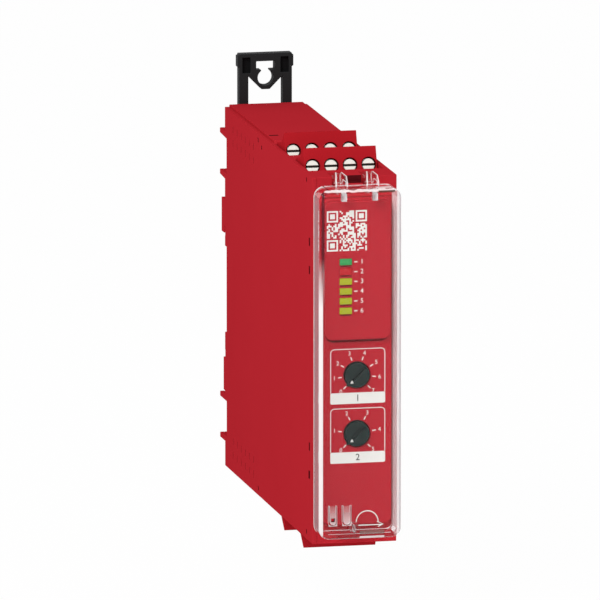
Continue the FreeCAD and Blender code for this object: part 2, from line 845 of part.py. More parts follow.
def make_header_pin(x):
    half = pin_size / 2
    return box(x - half, x + half, pin_y - half, pin_y + half, terminal_board_z, plug_foot_z + pin_reach)


def make_terminal_board():
    half = inner_x - terminal_board_side
    return box(-half, half, plug_front_y - terminal_board_over,
               plug_rear_y + plug_pitch + terminal_board_over,
               terminal_board_z - board_thickness, terminal_board_z)


def front_board_half():
    return inner_x - front_board_side, opening_z - front_board_end


def front_post_places():
    half_x, half_z = front_board_half()
    x = half_x - front_post_inset
    z = half_z - front_post_inset
    return [(-x, -z), (-x, z), (x, -z), (x, z)]


def make_front_board():
    half_x, half_z = front_board_half()
    return box(-half_x, half_x, front_board_y, front_board_back_y, -half_z, half_z)


def standoff_places():
    y0 = main_board_front_y + standoff_inset
    y1 = main_board_rear_y - standoff_inset
    z = main_board_z - standoff_inset
    return [(y, side * z) for y in (y0, y1) for side in (-1, 1)]


def make_main_board():
    return box(main_board_x, main_board_x + board_thickness, main_board_front_y, main_board_rear_y,
               -main_board_z, main_board_z)


def make_relay(z):
    y0 = plug_front_y + terminal_board_over + link_length + relay_link_gap
    block = box(main_board_x - relay_height, main_board_x, y0, y0 + relay_length,
                z - relay_width / 2, z + relay_width / 2)
    return block.makeFillet(relay_corner, edges_along(block, Vector(1, 0, 0)))


def transformer_core():
    y1 = main_board_rear_y - core_rear_gap
    core = box(main_board_x - core_height, main_board_x, y1 - core_length, y1,
               -core_width / 2, core_width / 2)
    z = core_width / 2 - core_leg
    cuts = []
    for start in (y1 - core_leg - core_window, y1 - core_length + core_leg):
        cuts.append(box(main_board_x - core_height, main_board_x, start, start + core_window, -z, z))
    return core.cut(cuts)


def transformer_coil():
    """The winding round the core's middle leg, inside its two windows."""
    y1 = main_board_rear_y - core_rear_gap
    middle = y1 - core_length / 2
    in_y = core_leg + coil_gap
    out_y = in_y + coil_thickness
    z = core_width / 2 - core_leg - coil_gap
    x0 = main_board_x - core_height
    outer = box(x0, main_board_x, middle - out_y, middle + out_y, -z, z)
    inner = box(x0, main_board_x, middle - in_y, middle + in_y, -z, z)
    return outer.cut(inner)


def make_capacitor(z):
    y = main_board_rear_y - core_rear_gap - core_length / 2
    r = capacitor_radius
    b = capacitor_bead
    x1 = main_board_x
    profile = [(x1, 0), (x1, r), (x1 - capacitor_height + b, r), (x1 - capacitor_height, r - b),
               (x1 - capacitor_height, 0)]
    face = Part.Face(Part.makePolygon([Vector(x, y, z + up) for x, up in profile + profile[:1]]))
    return face.revolve(Vector(0, y, z), Vector(1, 0, 0), 360)


def make_controller(z):
    y0 = main_board_front_y + chip_front_gap - chip_size / 2
    return box(main_board_x - chip_height, main_board_x, y0, y0 + chip_size,
               z - chip_size / 2, z + chip_size / 2)


def make_terminal_link():
    """The pin strip that joins the main board's edge to a terminal board."""
    y0 = plug_front_y + terminal_board_over
    return box(main_board_x - link_width, main_board_x, y0, y0 + link_length,
               main_board_z - link_depth, terminal_board_z - board_thickness)


def make_front_link():
    """The pin strip that joins the main board's front edge to the front board."""
    return box(main_board_x - link_width, main_board_x, front_board_back_y,
               main_board_front_y + link_depth, -link_length / 2, link_length / 2)


def write(node, shapes):
    """Write one node. Several shapes make a group of separate solids."""
    shape = shapes[0].copy() if len(shapes) == 1 else Part.makeCompound([s.copy() for s in shapes])
    shape.translate(Vector(0, 0, middle_above_rail))
    shape.exportStep("parts/" + node + ".step")


os.makedirs("parts", exist_ok=True)
write("housing", [make_housing()])
write("side_cover", [make_side_cover()])
write("front_panel", [make_front_panel()])
write("indicator_plate", [make_indicator_plate()])
write("clear_cover", [make_cover()])
write("mounting_lug", [make_lug()])
write("rail_catch", [make_catch()])

for index, height in enumerate(lamp_zs()):
    write("light_guide_" + str(index + 1), [make_light_guide(height)])
write("status_leds", [make_led(height) for height in lamp_zs()])
for name, height in (("upper", knob_z_upper), ("lower", knob_z_lower)):
    write("selector_knob_" + name, [make_knob(height)])
    write("rotary_switch_" + name, [make_switch(height)])

plug = make_plug()
screws = [tilted(make_clamp_screw(), x) for x in pole_xs]
cages = [tilted(make_clamp_cage(), x) for x in pole_xs]
contacts = [moved(make_contact(), x=x) for x in pole_xs]
header = make_header()
pins = [make_header_pin(x) for x in pole_xs]
for level in ("upper", "lower"):
    for row, shift in (("front", 0.0), ("rear", plug_pitch)):
        for kind, shapes in (("terminal_plug", [plug]), ("clamp_screws", screws), ("clamp_cages", cages),
                             ("plug_contacts", contacts), ("pin_header", [header]), ("header_pins", pins)):
            placed = [moved(shape, y=shift) for shape in shapes]
            if level == "lower":
                placed = [upside_down(shape) for shape in placed]
            write(kind + "_" + level + "_" + row, placed)

write("terminal_board_upper", [make_terminal_board()])
write("terminal_board_lower", [upside_down(make_terminal_board())])
write("front_board", [make_front_board()])
write("main_board", [make_main_board()])
for index in range(relay_count):
    step = relay_width + relay_spacing
    write("output_relay_" + str(index + 1), [make_relay(((relay_count - 1) / 2 - index) * step)])
write("transformer_core", [transformer_core()])
write("transformer_coil", [transformer_coil()])
write("filter_capacitors", [make_capacitor(capacitor_spacing), make_capacitor(-capacitor_spacing)])
write("controller_upper", [make_controller(chip_spacing / 2)])
write("controller_lower", [make_controller(-chip_spacing / 2)])
write("board_link_upper", [make_terminal_link()])
write("board_link_lower", [upside_down(make_terminal_link())])
write("board_link_front", [make_front_link()])
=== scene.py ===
# %% [markdown]
# # A safety relay, dressed for its picture
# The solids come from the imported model. This lesson gives every one of them a finish,
# rounds the outer edges, models the prints, and sets up a plain studio. All sizes are in
# metres, in the same frame as the solids, and a print's places are in millimetres.

# %% The frame
import json
import math
import random

import bpy
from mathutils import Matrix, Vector

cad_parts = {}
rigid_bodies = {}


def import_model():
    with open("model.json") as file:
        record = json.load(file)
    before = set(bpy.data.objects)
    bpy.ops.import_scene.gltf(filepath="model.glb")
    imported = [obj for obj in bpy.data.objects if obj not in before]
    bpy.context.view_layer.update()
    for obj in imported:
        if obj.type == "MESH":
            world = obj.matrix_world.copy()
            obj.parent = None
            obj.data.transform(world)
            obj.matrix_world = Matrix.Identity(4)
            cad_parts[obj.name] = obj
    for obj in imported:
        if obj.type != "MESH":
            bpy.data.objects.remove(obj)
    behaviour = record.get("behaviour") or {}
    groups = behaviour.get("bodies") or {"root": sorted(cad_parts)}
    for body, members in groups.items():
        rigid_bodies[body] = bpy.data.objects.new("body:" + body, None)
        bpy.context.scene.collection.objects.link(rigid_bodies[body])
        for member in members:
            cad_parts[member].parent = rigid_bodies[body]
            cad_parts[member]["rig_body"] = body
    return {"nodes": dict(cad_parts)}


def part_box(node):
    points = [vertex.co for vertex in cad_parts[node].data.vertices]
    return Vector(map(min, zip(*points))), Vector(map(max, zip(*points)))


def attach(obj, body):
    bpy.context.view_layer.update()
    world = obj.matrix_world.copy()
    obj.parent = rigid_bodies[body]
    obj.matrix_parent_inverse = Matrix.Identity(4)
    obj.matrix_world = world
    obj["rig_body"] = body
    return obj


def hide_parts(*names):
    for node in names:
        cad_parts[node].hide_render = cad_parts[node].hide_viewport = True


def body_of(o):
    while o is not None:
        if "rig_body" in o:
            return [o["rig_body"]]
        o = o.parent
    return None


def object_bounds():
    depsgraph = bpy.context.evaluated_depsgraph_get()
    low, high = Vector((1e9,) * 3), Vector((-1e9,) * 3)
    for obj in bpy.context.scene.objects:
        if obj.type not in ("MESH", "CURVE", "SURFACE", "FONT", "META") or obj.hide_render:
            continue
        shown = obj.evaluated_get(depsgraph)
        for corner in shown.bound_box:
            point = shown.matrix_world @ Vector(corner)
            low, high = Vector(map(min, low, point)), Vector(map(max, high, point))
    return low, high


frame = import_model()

MM = 0.001
cad_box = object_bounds()
nodes = frame["nodes"]
print(len(nodes), "nodes, box in mm", [[round(v / MM, 1) for v in corner] for corner in cad_box])

# %% [markdown]
# ## The camera
# The photograph looks down a little on the front and the left wall. Its lines stay
# parallel, as they do from far away, so the lens is very long and the camera far off.

# %% Camera
AZIMUTH = -12.3
ELEVATION = 10.6
VIEW_WIDTH = 158.7 * MM
LOOK_AT = Vector((-2.63, -54.75, 7.57)) * MM
SENSOR = 36.0
LENS = 1000.0
NEAREST = 0.1
FARTHEST = 50.0


def face_the_part(thing, azimuth, elevation, distance):
    """Puts a camera or a lamp at a place round the part, given in degrees, and aims it."""
    a = math.radians(azimuth)
    e = math.radians(elevation)
    way = Vector((math.sin(a) * math.cos(e), -math.cos(a) * math.cos(e), math.sin(e)))
    thing.location = LOOK_AT + way * distance
    thing.rotation_euler = (-way).to_track_quat("-Z", "Y").to_euler()


camera = bpy.data.objects.new("camera", bpy.data.cameras.new("camera"))
bpy.context.scene.collection.objects.link(camera)
camera.data.lens = LENS
camera.data.sensor_width = SENSOR
camera.data.clip_start = NEAREST
camera.data.clip_end = FARTHEST
face_the_part(camera, AZIMUTH, ELEVATION, VIEW_WIDTH * LENS / SENSOR)
bpy.context.scene.camera = camera
print("camera", round((camera.location - LOOK_AT).length, 2), "m away")

# %% [markdown]
# ## Writing materials as sums
# A surface is easier to read as an expression than as a drawing of boxes and wires.
# `Value` wraps one socket, and adds a Math node for each operator. `Graph` holds the nodes
# of one material or world, and its `node` method makes each other node: its type, its
# settings, then its sockets.

# %% Value and Graph
class Value:
    """What comes out of one socket."""

    def __init__(self, graph, socket):
        self.graph = graph
        self.socket = socket

    def math(self, operation, *values):
        return self.graph.node("ShaderNodeMath", {"operation": operation}, dict(enumerate(values)))

    def __add__(self, other):
        return self.math("ADD", self, other)

    def __radd__(self, other):
        return self.math("ADD", other, self)

    def __sub__(self, other):
        return self.math("SUBTRACT", self, other)

    def __rsub__(self, other):
        return self.math("SUBTRACT", other, self)

    def __mul__(self, other):
        return self.math("MULTIPLY", self, other)

    def __rmul__(self, other):
        return self.math("MULTIPLY", other, self)

    def __lt__(self, other):
        return self.math("LESS_THAN", self, other)

    def __gt__(self, other):
        return self.math("GREATER_THAN", self, other)

    def at_least(self, other):
        return self.math("MAXIMUM", self, other)

    def at_most(self, other):
        return self.math("MINIMUM", self, other)


class Graph:
    """The nodes of one material or world."""

    def __init__(self, tree):
        self.tree = tree

    def set(self, node, sockets):
        for key, value in sockets.items():
            if isinstance(value, Value):
                self.tree.links.new(value.socket, node.inputs[key])
            else:
                node.inputs[key].default_value = value

    def node(self, kind, settings, sockets, out=0):
        node = self.tree.nodes.new(kind)
        for key, value in settings.items():
            setattr(node, key, value)
        self.set(node, sockets)
        return Value(self, node.outputs[out])


# %% [markdown]
# ## A finish and its colours
# Most surfaces here need the same few things: a place on the object, soft noise, a bump
# and a mix of two colours. `Finish` is the graph of one material with a method for each,
# so that a finish can be read in a few lines. Colours are written as they look on a
# screen and turned into light, because Blender adds up light.

# %% Finish
class Finish(Graph):
    """One material, with the nodes that several of them need."""

    def __init__(self, name):
        self.material = bpy.data.materials.new(name)
        self.material.use_nodes = True
        self.shader = self.material.node_tree.nodes["Principled BSDF"]
        super().__init__(self.material.node_tree)

    def mix(self, factor, colour_a, colour_b):
        return self.node("ShaderNodeMix", {"data_type": "RGBA"}, {0: factor, 6: colour_a, 7: colour_b}, out=2)

    def place(self):
        return self.node("ShaderNodeTexCoord", {}, {}, out="Object")

    def coordinates(self):
        split = self.node("ShaderNodeSeparateXYZ", {}, {0: self.place()})
        return [Value(self, output) for output in split.socket.node.outputs]

    def noise(self, size, detail=2.0, roughness=0.5):
        """Soft spots of about the given size, as a value from 0 to 1."""
        sockets = {"Vector": self.place(), "Scale": 1 / size, "Detail": detail, "Roughness": roughness}
        return self.node("ShaderNodeTexNoise", {}, sockets)

    def bump(self, height, depth):
        return self.node("ShaderNodeBump", {}, {"Strength": 1.0, "Distance": depth, "Height": height})

    def blend(self, factor, first, second):
        return self.node("ShaderNodeMixShader", {}, {0: factor, 1: first, 2: second})

    def principled(self, **sockets):
        self.set(self.shader, {key.replace("_", " "): value for key, value in sockets.items()})
        return self.material

    def show(self, shader):
        """Makes a shader the one that the material ends in."""
        self.set(self.tree.nodes["Material Output"], {"Surface": shader})
        return self.material


def srgb(red, green, blue):
    """A colour given as it looks on a screen, 0 to 255, as the light that Blender adds up."""
    def light(level):
        share = level / 255
        return share / 12.92 if share <= 0.04045 else ((share + 0.055) / 1.055) ** 2.4
    return (light(red), light(green), light(blue), 1.0)


print("a middle grey is", round(srgb(128, 128, 128)[0], 3), "of white in light")

# %% [markdown]
# ## The moulded plastics
# The case is one red polycarbonate, moulded in a tool with a fine spark-eroded grain.
# The grain is a noise of a third of a millimetre that bumps the surface by a few
# hundredths, and a much larger noise lets the red drift a little, as pigment does.

# %% Plastics
GRAIN = 0.3 * MM
GRAIN_DEPTH = 0.012 * MM
GRAIN_COLOUR = 0.18
GRAIN_ROUGHNESS = 0.12
DRIFT = 22 * MM
DRIFT_COLOUR = 0.5


def moulded(name, colour, deep, rough, grain=GRAIN, coat=0.0, shine=0.2):
    finish = Finish(name)
    drift = finish.noise(DRIFT, detail=3)
    fine = finish.noise(grain, detail=3, roughness=0.6)
    return finish.principled(
        Base_Color=finish.mix(drift * DRIFT_COLOUR + fine * GRAIN_COLOUR, srgb(*colour), srgb(*deep)),
        Roughness=fine * GRAIN_ROUGHNESS + rough,
        Normal=finish.bump(fine, GRAIN_DEPTH),
        Coat_Weight=coat,
        Specular_IOR_Level=shine)


red_case = moulded("red moulding", (190, 41, 51), (177, 35, 44), 0.6, shine=0.0)
red_plug = moulded("red plug", (184, 33, 42), (170, 27, 35), 0.55, shine=0.0)
# Painted shade: the front panel and the plate share the case's red moulding, and this copy of it is painted a
# little darker for how light falls on them.
red_panel_shaded = moulded("red panel", (182, 38, 49), (170, 33, 43), 0.55, shine=0.0)
# Painted shade: this red colours the screw wells, the notch on top, the line under each lamp and the line
# under the plate.
painted_shade_red = moulded("shaded red", (112, 30, 34), (98, 24, 28), 0.6, shine=0.0)
# Painted deeper shade, in the finger notch and in the holes of the left wall.
painted_deep_shade_red = moulded("painted deep shade red", (92, 20, 26), (70, 16, 20), 0.6, shine=0.0)
black = moulded("black slider", (40, 41, 42), (29, 31, 31), 0.5, shine=0.04)
# Painted shade in the lug's pockets and in the small hole of the cover's tongue.
painted_hollow_shade = moulded("painted hollow shade", (27, 27, 28), (20, 20, 21), 0.6, shine=0.0)
dark_green = moulded("dark knob", (27, 41, 38), (17, 29, 26), 0.4)
black_part = moulded("black part", (34, 34, 35), (24, 24, 25), 0.45)
board_green = moulded("circuit board", (30, 92, 52), (22, 74, 42), 0.3, grain=1.2 * MM, coat=0.4)
relay_white = moulded("relay case", (222, 221, 214), (208, 207, 200), 0.35)
ferrite = moulded("ferrite", (66, 64, 63), (50, 49, 48), 0.6)
tape = moulded("winding tape", (214, 180, 66), (196, 160, 50), 0.3)
can = moulded("capacitor sleeve", (44, 46, 78), (34, 36, 64), 0.28)
led_white = moulded("led body", (230, 228, 214), (214, 212, 198), 0.3)
print("materials so far", len(bpy.data.materials))

# %% [markdown]
# ## Metal and lamps
# Screws, cages and strips are plated, and wear leaves fine dull scratches, so one noise
# drives the colour, the roughness and a slight bump. The lamp windows are tinted plastic
# with a smooth face, so their noise is coarser and their roughness low.

# %% Metal and lamps
SCRATCH = 0.25 * MM
SCRATCH_DEPTH = 0.01 * MM
SCRATCH_ROUGHNESS = 0.16
WORN = 0.88
CLOUD = 1.2 * MM


def metal(name, colour, rough):
    finish = Finish(name)
    scratch = finish.noise(SCRATCH, detail=4, roughness=0.7)
    return finish.principled(
        Base_Color=finish.mix(scratch, srgb(*colour), srgb(*[level * WORN for level in colour])),
        Metallic=1.0,
        Roughness=scratch * SCRATCH_ROUGHNESS + rough,
        Normal=finish.bump(scratch, SCRATCH_DEPTH))


def lamp(name, colour, deep):
    finish = Finish(name)
    cloud = finish.noise(CLOUD)
    return finish.principled(Base_Color=finish.mix(cloud, srgb(*colour), srgb(*deep)),
                             Roughness=cloud * 0.1 + 0.22, Coat_Weight=0.05, Specular_IOR_Level=0.2)


screw_metal = metal("screw metal", (238, 235, 227), 0.42)
cage_metal = metal("cage metal", (205, 200, 188), 0.35)
contact_metal = metal("contact bronze", (214, 186, 132), 0.3)
pin_metal = metal("pin metal", (225, 225, 222), 0.25)
# Painted shade on the floor of each narrow screw slot, where no light reaches.
slot_shade_metal = metal("painted slot shade", (70, 68, 64), 0.55)
lamp_green = lamp("lamp green", (62, 160, 86), (44, 138, 72))
lamp_red = lamp("lamp red", (196, 26, 34), (178, 20, 28))
lamp_yellow = lamp("lamp yellow green", (176, 178, 30), (158, 164, 24))
print("materials so far", len(bpy.data.materials))

# %% [markdown]
# ## Clear plastic
# The cover is polished polycarbonate. Light runs along inside such a sheet and leaves at
# its edges and bends, where it shows as pale or dark lines. Rays alone would need far more
# samples to draw them, so these lines are painted: each such place gets a mask on Object
# coordinates, worked out from the cover's own box. At the end one Mix Shader lays a matt
# surface in the painted colours over the clear one by these masks. `mark` notes a painted
# place, how much it is covered, and its own colour.

# %% The cover's plastic
cover_low, cover_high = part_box("clear_cover")
WALL = 1.2 * MM
SKIN = 0.1 * MM
LINE = 0.3 * MM
HAZE = 6 * MM
cover = Finish("clear cover")
haze = cover.noise(HAZE)
cover.principled(Base_Color=srgb(252, 252, 253), Roughness=haze * 0.02 + 0.02,
                 Transmission_Weight=1.0, IOR=1.45, Specular_Tint=(0.3, 0.3, 0.3, 1))
at_x, at_y, at_z = cover.coordinates()
marks = []


def between(value, low, high):
    """One where a value lies between two others, and zero elsewhere."""
    return (value > low) * (value < high)


def largest(masks):
    value, *others = masks
    for mask in others:
        value = value.at_least(mask)
    return value


def mark(where, strength, colour=None):
    marks.append((where, strength, colour))


# %% [markdown]
# ## Walls, corner and rim
# The front corner at the left gets a painted glow near the bottom and a painted dark
# reflection of the case further up. A slow noise makes that change uneven. The left wall
# is painted with the red of the case seen through it, its rim with a pale painted
# highlight, and the right wall with a pale painted stripe behind the front and a painted
# pale line along its front edge.

# %% Walls, corner and rim
EDGE = 0.95 * MM
RIM = 0.5 * MM
COVER_GAP = 0.3 * MM
DARK_FROM = 0.55 * MM
DARK_TO = 1.35 * MM
GLOW_TOP = 20 * MM
FADE = 14 * MM
UNEVEN = 8 * MM
UNEVEN_SIZE = 20 * MM
rim_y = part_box("housing")[0].y - COVER_GAP

front = at_y < cover_low.y + EDGE
left = at_x < cover_low.x + EDGE
at_rim = between(at_y, rim_y - RIM, rim_y + SKIN)
rise = (at_z - GLOW_TOP + cover.noise(UNEVEN_SIZE) * UNEVEN) * (1 / FADE)
upper = rise.at_most(1.0).at_least(0.0)
right_wall = at_x > cover_high.x - WALL - SKIN
# Painted light and shade on the cover's walls, corner and rim.
mark(left * front * (1 - upper), 0.92)
mark(between(at_x, cover_low.x + DARK_FROM, cover_low.x + DARK_TO) * front * upper, 0.65, srgb(44, 38, 46))
mark(left * at_rim, 0.8)
mark((at_x < cover_low.x + SKIN) * (1 - front) * (1 - at_rim), 0.5, srgb(146, 78, 88))
mark(right_wall, 0.3)
mark(between(at_x, cover_high.x - 2 * LINE, cover_high.x - LINE) * front, 0.6, srgb(176, 178, 184))
print("cover's rim at", round(rim_y / MM, 2), "mm,", len(marks), "marks")

# %% [markdown]
# ## Arms and top edge
# The arms are cut from the same sheet, so each gets a painted highlight along both edges,
# and the one at the left leans with the arm. The long top edge gets a wavy painted
# highlight, with a painted bright spot and a painted dark spot of shade near its right end.

# %% Arms and top edge
COVER_TOP = 48.1 * MM
ARM_X = 4.15 * MM
ARM_HALF = 1.65 * MM
ARM_TIP = -113.0 * MM
ARM_LEAN = 0.2
ARM_FOOT = COVER_TOP + 0.05 * MM
WAVE = 0.9 * MM
WAVE_SIZE = 3 * MM
TOP_LINE = (COVER_TOP - 0.15 * MM, COVER_TOP + 0.35 * MM)
BRIGHT_X = (4.6 * MM, 8.6 * MM)
BRIGHT_Y = (cover_low.y + EDGE, cover_low.y + 3.4 * MM)
DARK_X = (4.8 * MM, 9.2 * MM)
DARK_Z = (COVER_TOP - 1.0 * MM, COVER_TOP - 0.45 * MM)

on_arm = at_z > ARM_FOOT
leaning = at_x - (at_y - ARM_TIP) * ARM_LEAN
# Painted highlights along the arms and the top edge, and a painted spot of shade.
for middle in (-ARM_X, ARM_X):
    mark(on_arm * between(at_x, middle + ARM_HALF - LINE, middle + ARM_HALF), 0.75)
    mark(on_arm * between(leaning, middle - ARM_HALF, middle - ARM_HALF + LINE), 0.75)
mark(front * between(at_z + cover.noise(WAVE_SIZE) * WAVE, *TOP_LINE), 0.75)
mark(between(at_x, *BRIGHT_X) * between(at_y, *BRIGHT_Y) * (at_z > COVER_TOP - SKIN), 0.6)
mark(between(at_x, *DARK_X) * between(at_z, *DARK_Z) * front, 0.7, srgb(50, 70, 58))
print(len(marks), "marks")

# %% [markdown]
# ## Tongues and lower edge
# The two tongues are free at the top and thicken towards their foot, so a pale painted
# sheen grows downwards on them. The eye for a seal catches light in a painted bright
# highlight, with a greyish painted shade above it.

# %% Tongues and lower edge
TONGUES = ((-7.4 * MM, 1.15 * MM), (-3.65 * MM, 1.25 * MM))
TONGUE_RISE = 3.6 * MM
TONGUE_LENGTH = 5.4 * MM
BAR_X = (-0.2 * MM, 6.4 * MM)
BRIGHT_BAR = 0.7 * MM
PAINTED_SHADE_BAR = 2.2 * MM

in_face = at_y < cover_low.y + WALL
foot = cover_low.z + TONGUE_RISE
tongue_end = foot + TONGUE_LENGTH
sunk = (tongue_end - at_z) * (1 / TONGUE_LENGTH)
for middle, half in TONGUES:
    on_tongue = between(at_x, middle - half, middle + half) * between(at_z, foot, tongue_end)
    mark(on_tongue * in_face, sunk * 0.5 + 0.1)
# Painted highlight and painted shade at the eye for a seal.
bar = between(at_x, *BAR_X) * in_face
mark(bar * (at_z < cover_low.z + BRIGHT_BAR), 0.85)
mark(bar * between(at_z, cover_low.z + WALL, cover_low.z + PAINTED_SHADE_BAR), 0.6, srgb(122, 118, 112))
print(len(marks), "marks")

# %% [markdown]
# ## Mixing the cover's shaders
# The right wall and the arms are so thin that bending the light twice only adds dark
# blotches, so most of their light goes straight through. Then the painted lights and
# shades are laid on as a matt layer, and a last Mix Shader lets shadow rays through, as
# thin clear plastic does. A cut or sawn face of the same sheet looks white, and has a
# finish of its own.

# %% Mixing the cover's shaders
THIN = 0.85
colour = cover.mix(haze, srgb(255, 250, 249), srgb(243, 236, 237))
for where, strength, own_colour in marks:
    if own_colour:
        colour = cover.mix(where, colour, own_colour)
# The matt layer that carries the painted light and shade.
dull = cover.node("ShaderNodeBsdfPrincipled", {},
                  {"Base Color": colour, "Roughness": 0.35, "Specular IOR Level": 0.0})
see_through = cover.node("ShaderNodeBsdfTransparent", {}, {})
polished = Value(cover, cover.shader.outputs[0])
thin = cover.blend(largest([right_wall, on_arm]) * THIN, polished, see_through)
lit = cover.blend(largest([where * strength for where, strength, own_colour in marks]), thin, dull)
shadow_ray = cover.node("ShaderNodeLightPath", {}, {}, out="Is Shadow Ray")
clear = cover.show(cover.blend(shadow_ray, lit, see_through))


def frosted_plastic():
    """The cut and sawn faces of the clear plastic, which look white."""
    finish = Finish("frosted edge")
    cloud = finish.noise(1.5 * MM, detail=3)
    return finish.principled(Base_Color=finish.mix(cloud, srgb(248, 246, 246), srgb(228, 224, 226)),
                             Roughness=cloud * 0.15 + 0.3, Transmission_Weight=0.35, IOR=1.45)


frosted = frosted_plastic()
print("nodes in the cover's material", len(cover.tree.nodes))

# %% [markdown]
# ## One finish for each solid
# Names tell what a solid is, so a short table of name beginnings is enough. The last
# word of a row is the name of a slot.

# %% Finishes on the nodes
FINISHES = (
    ("housing", red_case, "red_moulding"), ("side_cover", red_case, "red_moulding"),
    ("front_panel", red_panel_shaded, "red_moulding"), ("indicator_plate", red_panel_shaded, "red_moulding"),
    ("terminal_plug", red_plug, "red_plug"), ("mounting_lug", black, "black_slider"),
    ("rail_catch", black, "black_slider"), ("selector_knob", dark_green, "dark_knob"),
    ("rotary_switch", black_part, "switch_body"), ("clamp_screws", screw_metal, "screw_metal"),
    ("clamp_cages", cage_metal, "cage_metal"), ("plug_contacts", contact_metal, "contact_metal"),
    ("header_pins", pin_metal, "tinned_pin"), ("pin_header", black_part, "header_plastic"),
    ("board_link", black_part, "header_plastic"), ("light_guide_1", lamp_green, "lamp_green"),
    ("light_guide_2", lamp_red, "lamp_red"), ("light_guide", lamp_yellow, "lamp_yellow_green"),
    ("status_leds", led_white, "led_body"), ("terminal_board", board_green, "circuit_board"),
    ("front_board", board_green, "circuit_board"), ("main_board", board_green, "circuit_board"),
    ("output_relay", relay_white, "relay_case"), ("transformer_core", ferrite, "ferrite"),
    ("transformer_coil", tape, "winding_tape"), ("filter_capacitors", can, "capacitor_can"),
    ("controller", black_part, "chip_package"), ("clear_cover", clear, "clear_cover"),
)


def finish_of(name):
    return next((material, slot) for start, material, slot in FINISHES if name.startswith(start))


for name, solid in nodes.items():
    solid.data.materials.clear()
    solid.data.materials.append(finish_of(name)[0])
print("finishes on", len(nodes), "nodes")

# %% [markdown]
# ## Rounded edges
# No moulded edge is razor sharp: the tool leaves a small radius, and the thin line of
# light along it is what makes plastic look like plastic. Rounding by hand would take
# hours, so each outer solid is copied, its loose triangles are merged into faces, and a
# Bevel modifier rounds what is left. The copy then stands in for the solid.

# %% Helpers for modelling
MERGE_DISTANCE = 0.002 * MM
FLAT_ANGLE = math.radians(0.5)
EDGE_ANGLE = math.radians(40)


def only(piece):
    bpy.ops.object.select_all(action="DESELECT")
    piece.select_set(True)
    bpy.context.view_layer.objects.active = piece


def shape_with(piece, kind, **settings):
    """Adds one modifier, sets it and applies it."""
    modifier = piece.modifiers.new(kind, kind)
    for key, value in settings.items():
        setattr(modifier, key, value)
    only(piece)
    bpy.ops.object.modifier_apply(modifier=modifier.name)


def dressed(name, radius):
    """A merged copy of a solid with rounded edges, which takes the solid's place."""
    piece = bpy.data.objects.new(name + "_dressed", nodes[name].data.copy())
    bpy.context.scene.collection.objects.link(piece)
    only(piece)
    bpy.ops.object.mode_set(mode="EDIT")
    bpy.ops.mesh.select_all(action="SELECT")
    bpy.ops.mesh.remove_doubles(threshold=MERGE_DISTANCE)
    bpy.ops.mesh.dissolve_limited(angle_limit=FLAT_ANGLE)
    bpy.ops.object.mode_set(mode="OBJECT")
    if radius:
        shape_with(piece, "BEVEL", width=radius, segments=2, limit_method="ANGLE",
                   angle_limit=EDGE_ANGLE, use_clamp_overlap=False)
    only(piece)
    bpy.ops.object.shade_smooth_by_angle(angle=EDGE_ANGLE)
    shape_with(piece, "WEIGHTED_NORMAL", keep_sharp=True)
    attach(piece, body_of(nodes[name])[0])
    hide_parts(name)
    return piece


# %% [markdown]
# ## A radius for each moulding
# The radii are in millimetres. The two sliders have the softest edges, and the small
# parts the sharpest. The cover's own edges are in its solid, so it is merged and smoothed
# but not rounded again.

# %% Round the outer solids
RADIUS = {"housing": 0.14, "side_cover": 0.14, "front_panel": 0.12, "indicator_plate": 0.15,
          "mounting_lug": 0.18, "rail_catch": 0.18, "selector_knob_upper": 0.12,
          "selector_knob_lower": 0.12, "clear_cover": 0}
GROUP_RADIUS = {"terminal_plug": 0.12, "clamp_screws": 0.1, "light_guide": 0.1}
for name in nodes:
    for start, radius in GROUP_RADIUS.items():
        if name.startswith(start):
            RADIUS[name] = radius
outer = {name: dressed(name, radius * MM) for name, radius in RADIUS.items()}
for name, piece in outer.items():
    print(name, len(piece.data.polygons), "faces")

# %% [markdown]
# ## Screws in their wells
# On the real screws the driver slot is so narrow that no light reaches its floor, and the
# wells round the heads are in shade too. Both are found by their place: seen along the
# tilted face of the plug, a slot is a thin band across the heads, and a well is a ring
# round each of the four poles.

# %% Screws in their wells
TILT = math.radians(20)
PITCH = 5.0 * MM
POLES = [(pole - 1.5) * PITCH for pole in range(4)]
SLOT_HALF = 0.32 * MM
SLOT_TOP = 0.1 * MM
SLOT_DEPTH = 0.7 * MM
HEAD_DEPTH = 0.3 * MM
WELL_RADIUS = 2.1 * MM
WELL_DEPTH = 3.5 * MM
STEEP = 0.5


def tilted_face(place):
    """The way that the screws at a place look, and the way outwards along their face."""
    up = 1 if place.z > 0 else -1
    return (Vector((0, -math.cos(TILT), up * math.sin(TILT))),
            Vector((0, math.sin(TILT), up * math.cos(TILT))))


def paint(piece, material, wanted):
    """Gives the wanted faces of a piece one more material: painted shade in a hollow, or the white of a cut
    face.
    """
    piece.data.materials.append(material)
    found = [polygon for polygon in piece.data.polygons if wanted(polygon.center, polygon.normal)]
    for polygon in found:
        polygon.material_index = len(piece.data.materials) - 1
    print(piece.name, "gets", material.name, "on", len(found), "faces")


def darken_slots(row, piece):
    face, along = tilted_face(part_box(row)[0])
    corners = [vertex.co for vertex in piece.data.vertices]
    front_of_heads = max(co.dot(face) for co in corners)
    heads = [co.dot(along) for co in corners if co.dot(face) > front_of_heads - HEAD_DEPTH]
    middle = (max(heads) + min(heads)) / 2

    def in_slot(centre, normal):
        return (abs(centre.dot(along) - middle) < SLOT_HALF
                and SLOT_TOP < front_of_heads - centre.dot(face) < SLOT_DEPTH)

    paint(piece, slot_shade_metal, in_slot)


